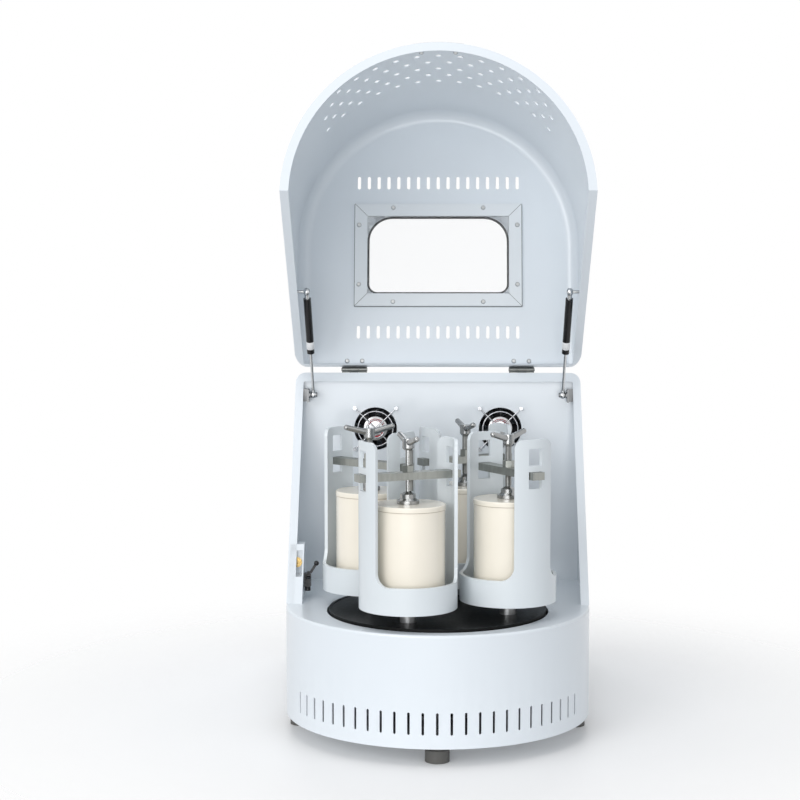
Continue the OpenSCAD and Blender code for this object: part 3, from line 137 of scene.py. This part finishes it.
rod_chrome = material("rod_chrome", (0.56, 0.57, 0.58), 0.12, metal=1.0, bump=0.0, rough_vary=0.03)
disc_black = material(
    "disc_black", (0.006, 0.0065, 0.0065), 0.40, spec=0.12, bump=0.12, bump_scale=260, vary=0.25,
    vary_scale=18, rough_vary=0.08,
)
ceramic = material(
    "ceramic_cream", (0.92, 0.86, 0.745), 0.22, bump=0.015, bump_scale=120, coat=0.3, vary=0.025,
    vary_scale=10,
)
bar_steel = material(
    "bar_steel", (0.31, 0.32, 0.30), 0.38, metal=1.0, vary=0.10, vary_scale=30, rough_vary=0.1,
    bump=0.06, stretch=(6, 6, 1),
)
screw_steel = material(
    "screw_steel", (0.33, 0.335, 0.335), 0.24, metal=1.0, vary=0.08, vary_scale=30, rough_vary=0.07,
    bump=0.03,
)

# Clear pane with a faint haze in its gloss
glass = bpy.data.materials.new("pane_clear")
glass.use_nodes = True
gt = glass.node_tree
gb = gt.nodes["Principled BSDF"]
PANE = {
    "Roughness": 0.02,
    "Transmission Weight": 0.95,
    "IOR": 1.1,
    "Base Color": (0.97, 0.975, 0.98, 1),
}
for socket_name, value in PANE.items():
    gb.inputs[socket_name].default_value = value
haze = node(gt, "ShaderNodeTexNoise", Scale=9.0)
haze_range = node(gt, "ShaderNodeMapRange", To_Min=0.01, To_Max=0.05)
gt.links.new(haze.outputs["Fac"], haze_range.inputs["Value"])
gt.links.new(haze_range.outputs["Result"], gb.inputs["Roughness"])

# Material by the start of a node's name; all others are powder coated
BY_NODE = {
    "feet": foot_rubber,
    "drive_belt": rubber,
    "fan_frames": plastic,
    "fan_guards": wire,
    "fan_rotor_": rotor,
    "hinge_": hinge_steel,
    "strut_brackets": bracket_steel,
    "lid_fasteners": zinc,
    "interlock_catch": brass,
    "limit_": plastic,
    "sun_gear_housing": machined,
    "main_shaft": machined,
    "planet_shaft_": machined,
    "motor_pulley": turned,
    "drive_motor": motor_paint,
    "inverter": grey_plastic,
    "control_panel": panel_plastic,
    "speed_knob": knob_plastic,
    "stop_button": stop_red,
    "power_inlet": plastic,
    "window_frame": strip_white,
    "window_pane": glass,
    "strut_cylinder_": strut_black,
    "strut_rod_": rod_chrome,
    "turntable": disc_black,
    "carrier_": carrier_paint,
    "jar_": ceramic,
    "clamp_bar_": bar_steel,
    "clamp_screw_": screw_steel,
}
for name, o in nodes.items():
    chosen = next((m for key, m in BY_NODE.items() if name.startswith(key)), paint)
    for s in o.material_slots:
        s.material = chosen


# Pieces that only the scene has

SHARP_ANGLE = math.radians(40)


def add(name, verts, faces, mat, body, smooth=True, matrix=None):
    """A new piece that rides on a body, placed by the matrix."""
    mesh = bpy.data.meshes.new(name)
    mesh.from_pydata([tuple(v) for v in verts], [], faces)
    if matrix is not None:
        mesh.transform(matrix)
    mesh.update()
    mesh.materials.append(mat)
    o = bpy.data.objects.new(name, mesh)
    bpy.context.scene.collection.objects.link(o)
    if smooth:
        mesh.shade_smooth()
        mesh.set_sharp_from_angle(angle=SHARP_ANGLE)
    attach(o, body)
    return o


def sweep(rings, closed_path, close_ends=True):
    """Faces that join rings of points, each ring closed."""
    n, m = len(rings), len(rings[0])
    verts = [p for ring in rings for p in ring]
    faces = []
    for i in range(n if closed_path else n - 1):
        a, b = i * m, (i + 1) % n * m
        faces += [(a + j, a + (j + 1) % m, b + (j + 1) % m, b + j) for j in range(m)]
    if not closed_path and close_ends:
        faces += [tuple(range(m))[::-1], tuple(range((n - 1) * m, n * m))]
    return verts, faces


def lathe(profile, segments=64):
    """A closed profile of (radius, height) turned about Z."""
    rings = []
    for i in range(segments):
        a = 2 * math.pi * i / segments
        rings.append([Vector((r * math.cos(a), r * math.sin(a), z)) for r, z in profile])
    return sweep(rings, True)


def round_rect(w, d, radii, steps=12):
    """Points and inward normals of a rounded rectangle.

    The radii run front right, rear right, rear left, front left.
    """
    points = []
    for (sx, sy), r, start in zip([(1, -1), (1, 1), (-1, 1), (-1, -1)], radii, (-90, 0, 90, 180)):
        cx, cy = sx * (w / 2 - r), sy * (d / 2 - r)
        for i in range(steps + 1):
            a = math.radians(start + 90 * i / steps)
            out = Vector((math.cos(a), math.sin(a), 0))
            points.append((Vector((cx, cy, 0)) + r * out, -out))
    return points


# From the closed lid, in which the window's pieces are written, to the open lid
LID = Matrix.Translation(HINGE) @ Matrix.Rotation(-LID_OPEN, 4, "X") @ Matrix.Translation(-HINGE)
ROOF_IN = 0.551
WINDOW_FWD = 0.195
window_mid = Vector((0, HINGE.y - WINDOW_FWD, ROOF_IN))

# Black edge round the window opening, a profile of (inward, up)
OPEN_W, OPEN_D, R_FRONT, R_REAR = 0.237, 0.132, 0.042, 0.017
EDGE = [
    (0.0, 0.0001),
    (0.0029, 0.0001),
    (0.0034, 0.0012),
    (0.0034, 0.0024),
    (0.0026, 0.0033),
    (0.0004, 0.0033),
    (-0.0006, 0.0028),
    (-0.0006, 0.0022),
    (0.0, 0.0021),
]


def rim(outline, profile):
    """A profile of (inward, up) led round an outline of the window."""
    rings = []
    for p, inward in outline:
        rings.append([window_mid + p + inward * n + Vector((0, 0, up)) for n, up in profile])
    return sweep(rings, True)


opening = round_rect(OPEN_W, OPEN_D, (R_FRONT, R_REAR, R_REAR, R_FRONT))
add("window_edge", *rim(opening, EDGE), rubber, "lid", matrix=LID)

# Grey bead round the window frame and grey fillers in its mitred corners: partly sealant, partly painted
# shadow in the gaps
sealant_and_gap_shade = material("sealant_and_gap_shade_grey", (0.20, 0.215, 0.215), 0.6, bump=0.05)
FRAME_W, FRAME_D, FRAME_CORNER, STRIP_W, STRIP_T = 0.279, 0.174, 0.0003, 0.021, 0.006
BEAD = [(-0.0012, -0.0001), (-0.0011, -0.0005), (-0.0005, -0.0010), (0.0002, -0.0012), (0.0002, -0.0001)]
MITRE_HALF, MITRE_IN, MITRE_OUT, MITRE_ENDS = 0.00035, 0.0006, 0.0001, (0.0002, STRIP_W - 0.0004)
frame_edge = round_rect(FRAME_W, FRAME_D, (FRAME_CORNER,) * 4, 2)
add("window_sealant_and_gap_shade", *rim(frame_edge, BEAD), sealant_and_gap_shade, "lid", matrix=LID)
# Grey fillers in the mitres, partly painted shadow in the mitre gaps
for i, (sx, sy) in enumerate(((-1, -1), (1, -1), (1, 1), (-1, 1))):
    corner = window_mid + Vector((sx * FRAME_W / 2, sy * FRAME_D / 2, -STRIP_T))
    inner = Vector((-sx, -sy, 0))
    side = Vector((sy, -sx, 0)).normalized() * MITRE_HALF
    low, high = Vector((0, 0, -MITRE_OUT)), Vector((0, 0, MITRE_IN))
    rings = []
    for way in MITRE_ENDS:
        end = corner + inner * way
        rings.append([end + side + low, end + side + high, end - side + high, end - side + low])
    add("window_mitre_%d" % i, *sweep(rings, False), sealant_and_gap_shade, "lid", smooth=False, matrix=LID)

# White band near the rod's end of each strut's cylinder, and its bright upper end.
# The profiles are (radius, height) with the upper ball's middle at zero.
band_paint = material("band_white", (0.78, 0.79, 0.80), 0.4, bump=0.01)
STRUT_X, STRUT_LEAN = 0.2045, 0.005
LOW_Y, LOW_Z = 0.042, 0.502
# The upper ball before and below the hinge, with the lid closed
UP_FWD, UP_DROP = 0.1065, 0.1284
UP_Y = HINGE.y - UP_FWD * math.cos(LID_OPEN) - UP_DROP * math.sin(LID_OPEN)
UP_Z = HINGE.z + UP_FWD * math.sin(LID_OPEN) - UP_DROP * math.cos(LID_OPEN)
BAND = [
    (0.0059, -0.1020),
    (0.0061, -0.1020),
    (0.00625, -0.1018),
    (0.00625, -0.0892),
    (0.0061, -0.0890),
    (0.0059, -0.0890),
]
NECK = [
    (0.0001, -0.0138),
    (0.0056, -0.0138),
    (0.0056, -0.0128),
    (0.0044, -0.0122),
    (0.0040, -0.0118),
    (0.0040, -0.0048),
    (0.0001, -0.0048),
]
BALL_R, BALL_CUT, BALL_STEPS = 0.00615, 49, 12
BORE_R, BORE_HALF = 0.0028, 0.00465
socket = [(BORE_R, -BORE_HALF)]
for i in range(BALL_STEPS + 1):
    a = math.radians(BALL_CUT * (2 * i / BALL_STEPS - 1))
    socket.append((BALL_R * math.cos(a), BALL_R * math.sin(a)))
socket.append((BORE_R, BORE_HALF))
for side, sx in (("left", -1), ("right", 1)):
    low = Vector((sx * STRUT_X, LOW_Y, LOW_Z))
    up = Vector((sx * (STRUT_X + STRUT_LEAN), UP_Y, UP_Z))
    turn = Vector((0, 0, 1)).rotation_difference((up - low).normalized()).to_matrix().to_4x4()
    along = Matrix.Translation(up) @ turn
    across = Matrix.Translation(up) @ Matrix.Rotation(math.radians(90), 4, "Y")
    body = "strut_cylinder_" + side
    add("strut_band_" + side, *lathe(BAND, 48), band_paint, body, matrix=along)
    add("strut_neck_" + side, *lathe(NECK, 32), rod_chrome, body, matrix=along)
    add("strut_socket_" + side, *lathe(socket, 48), rod_chrome, body, matrix=across)

# A plain bright disc on each fan's hub, with two red arcs
label = material("fan_label", (0.54, 0.55, 0.56), 0.25, metal=0.9, vary=0.05)
arc_red = material("arc_red", (0.55, 0.02, 0.03), 0.35, bump=0.0)
FAN_X, FAN_Z, HUB_Y, DISC_SINK = 0.1034, 0.444, 0.068, 0.0001
DISC = [(0.0001, 0.0), (0.0001, 0.0004), (0.0193, 0.0004), (0.0197, 0.0002), (0.0197, 0.0)]
ARC_IN, ARC_OUT, ARC_STARTS, ARC_SWEEP, ARC_STEPS = 0.0126, 0.0162, (25, 205), 125, 24
arc_low, arc_high = Vector((0, 0, 0.0004)), Vector((0, 0, 0.0007))
face_front = Matrix.Rotation(math.radians(90), 4, "X")
for side, x in (("left", -FAN_X), ("right", FAN_X)):
    at = Matrix.Translation(Vector((x, HUB_Y - DISC_SINK, FAN_Z))) @ face_front
    add("fan_label_" + side, *lathe(DISC, 64), label, "fan_" + side, matrix=at)
    for j, start in enumerate(ARC_STARTS):
        rings = []
        for i in range(ARC_STEPS + 1):
            a = math.radians(start + ARC_SWEEP * i / ARC_STEPS)
            c = Vector((math.cos(a), math.sin(a), 0))
            near, far = c * ARC_IN, c * ARC_OUT
            rings.append([near + arc_low, near + arc_high, far + arc_high, far + arc_low])
        add("fan_arc_%s_%d" % (side, j), *sweep(rings, False), arc_red, "fan_" + side, matrix=at)

# Thread on each clamp screw, between its foot and the bar and above the bar's nut
thread_steel = material(
    "thread_steel", (0.25, 0.255, 0.25), 0.3, metal=1.0, bump=0.0, rough_vary=0.05,
)
THREAD_SPANS = {"low": (0.3876, 0.4043), "high": (0.4261, 0.4477)}
ROD_R, ROOT_R, CREST_R, THREAD_PITCH = 0.00402, 0.0043, 0.0048, 0.0018
ROOT_GAP, CREST_FROM, CREST_TO = 0.0001, 0.4, 0.6

# Painted shadow under each jar's lid, a dark cream ring: (out from the jar's wall, up from its top)
painted_shadow_cream = material("painted_shadow_cream", (0.52, 0.45, 0.35), 0.5, bump=0.02)
LID_SHADOW = [(-0.0004, -0.0012), (0.0003, -0.0011), (0.0003, -0.0002), (-0.0004, -0.0002)]


def thread(low, high):
    """A sleeve of ridges round the screw's rod."""
    turns = int((high - low) / THREAD_PITCH)
    profile = [(ROD_R, low)]
    for i in range(turns):
        z = low + (high - low) * i / turns
        profile += [
            (ROOT_R, z + ROOT_GAP),
            (CREST_R, z + THREAD_PITCH * CREST_FROM),
            (CREST_R, z + THREAD_PITCH * CREST_TO),
        ]
    profile += [(ROOT_R, high - ROOT_GAP), (ROD_R, high)]
    return lathe(profile, 32)


for k in range(1, 5):
    jar = nodes["jar_%d" % k]
    corners = [jar.matrix_world @ Vector(c) for c in jar.bound_box]
    lowest, highest = [Vector([pick(c[i] for c in corners) for i in range(3)]) for pick in (min, max)]
    mid = (lowest + highest) / 2
    jar_r = (highest.x - lowest.x) / 2
    spindle = Matrix.Translation(Vector((mid.x, mid.y, 0)))
    for part, span in THREAD_SPANS.items():
        add("thread_%s_%d" % (part, k), *thread(*span), thread_steel, "screw_%d" % k, matrix=spindle)
    # The dark cream ring just under the lid is painted shadow
    lid_shadow = [(jar_r + out, highest.z + up) for out, up in LID_SHADOW]
    add("jar_seam_%d" % k, *lathe(lid_shadow, 96), painted_shadow_cream, "planet_%d" % k, matrix=spindle)


# Room, lights and camera


def area(name, at, to, size, power, color=(1, 1, 1)):
    """A soft rectangular lamp that the camera does not see."""
    d = bpy.data.lights.new(name, "AREA")
    d.shape = "RECTANGLE"
    d.size, d.size_y = size
    d.energy = power
    d.color = color
    o = bpy.data.objects.new(name, d)
    bpy.context.scene.collection.objects.link(o)
    o.location = at
    o.rotation_euler = (Vector(to) - Vector(at)).to_track_quat("-Z", "Y").to_euler()
    o.visible_camera = False
    return o


area("key_left", (-1.9, -2.8, 1.8), (0, 0, 0.5), (1.6, 1.6), 31, (1.0, 0.99, 0.98))
area("fill_right", (2.6, -2.0, 1.5), (0, 0, 0.5), (1.4, 1.8), 5, (0.98, 0.99, 1.0))
area("top", (-0.4, -0.8, 3.0), (0, 0, 0.4), (2.0, 2.0), 22)
area("front", (-0.5, -3.6, 0.55), (0, 0, 0.75), (2.6, 1.1), 38)
area("back", (0, 2.6, 2.2), (0, 0, 0.6), (2.0, 1.2), 24)

# Cool light from all round, while the camera, glass and metal see plain white
world = bpy.data.worlds.new("studio")
bpy.context.scene.world = world
world.use_nodes = True
wt = world.node_tree
wt.nodes.clear()
out = wt.nodes.new("ShaderNodeOutputWorld")
mix = wt.nodes.new("ShaderNodeMixShader")
lit = node(wt, "ShaderNodeBackground", Strength=0.48)
lit.inputs["Color"].default_value = (0.93, 0.96, 1.0, 1)
seen = node(wt, "ShaderNodeBackground", Strength=1.0)
seen.inputs["Color"].default_value = (1, 1, 1, 1)
path = wt.nodes.new("ShaderNodeLightPath")
white_seen = path.outputs["Is Camera Ray"]
for ray in ("Is Transmission Ray", "Is Glossy Ray"):
    either = wt.nodes.new("ShaderNodeMath")
    either.operation = "MAXIMUM"
    wt.links.new(white_seen, either.inputs[0])
    wt.links.new(path.outputs[ray], either.inputs[1])
    white_seen = either.outputs["Value"]
wt.links.new(white_seen, mix.inputs["Fac"])
wt.links.new(lit.outputs["Background"], mix.inputs[1])
wt.links.new(seen.outputs["Background"], mix.inputs[2])
wt.links.new(mix.outputs["Shader"], out.inputs["Surface"])

FLOOR_HALF, FLOOR_Z = 1.6, -0.0005
corners = [(x * FLOOR_HALF, y * FLOOR_HALF, 0) for x, y in ((-1, -1), (1, -1), (1, 1), (-1, 1))]
floor_mesh = bpy.data.meshes.new("floor")
floor_mesh.from_pydata(corners, [], [(0, 1, 2, 3)])
floor = bpy.data.objects.new("floor", floor_mesh)
bpy.context.scene.collection.objects.link(floor)
floor.location.z = FLOOR_Z
floor_mat = material("floor_pale", (0.93, 0.93, 0.93), 0.6, bump=0.02, bump_scale=40, vary=0.004)
floor_mesh.materials.append(floor_mat)

# The floor fades out round the mill, so that the white behind has no edge
ft = floor_mat.node_tree
spot = ft.nodes.new("ShaderNodeTexCoord")
reach = ft.nodes.new("ShaderNodeVectorMath")
reach.operation = "LENGTH"
ft.links.new(spot.outputs["Object"], reach.inputs[0])
FADE_FROM, FADE_TO, SOLID = 0.35, 1.0, 0.9
fade = node(ft, "ShaderNodeMapRange", From_Min=FADE_FROM, From_Max=FADE_TO, To_Min=SOLID, To_Max=0.0)
fade.interpolation_type = "SMOOTHSTEP"
ft.links.new(reach.outputs["Value"], fade.inputs["Value"])
clear = ft.nodes.new("ShaderNodeBsdfTransparent")
blend = ft.nodes.new("ShaderNodeMixShader")
ft.links.new(fade.outputs["Result"], blend.inputs["Fac"])
ft.links.new(clear.outputs["BSDF"], blend.inputs[1])
ft.links.new(ft.nodes["Principled BSDF"].outputs["BSDF"], blend.inputs[2])
ft.links.new(blend.outputs["Shader"], ft.nodes["Material Output"].inputs["Surface"])

# The camera as fitted to the photograph
CAM_AT, LENS, SENSOR = (0, -2.847, 0.731), 79.3, 36
CAM_PITCH, CAM_YAW = 0.082, math.radians(1.235)
cam_data = bpy.data.cameras.new("camera")
cam_data.lens = LENS
cam_data.sensor_width = SENSOR
cam = bpy.data.objects.new("camera", cam_data)
bpy.context.scene.collection.objects.link(cam)
cam.location = CAM_AT
level = math.cos(CAM_PITCH)
aim = Vector((-math.sin(CAM_YAW) * level, math.cos(CAM_YAW) * level, -math.sin(CAM_PITCH)))
cam.rotation_euler = aim.to_track_quat("-Z", "Y").to_euler()
bpy.context.scene.camera = cam
bpy.context.scene.view_settings.view_transform = "Standard"
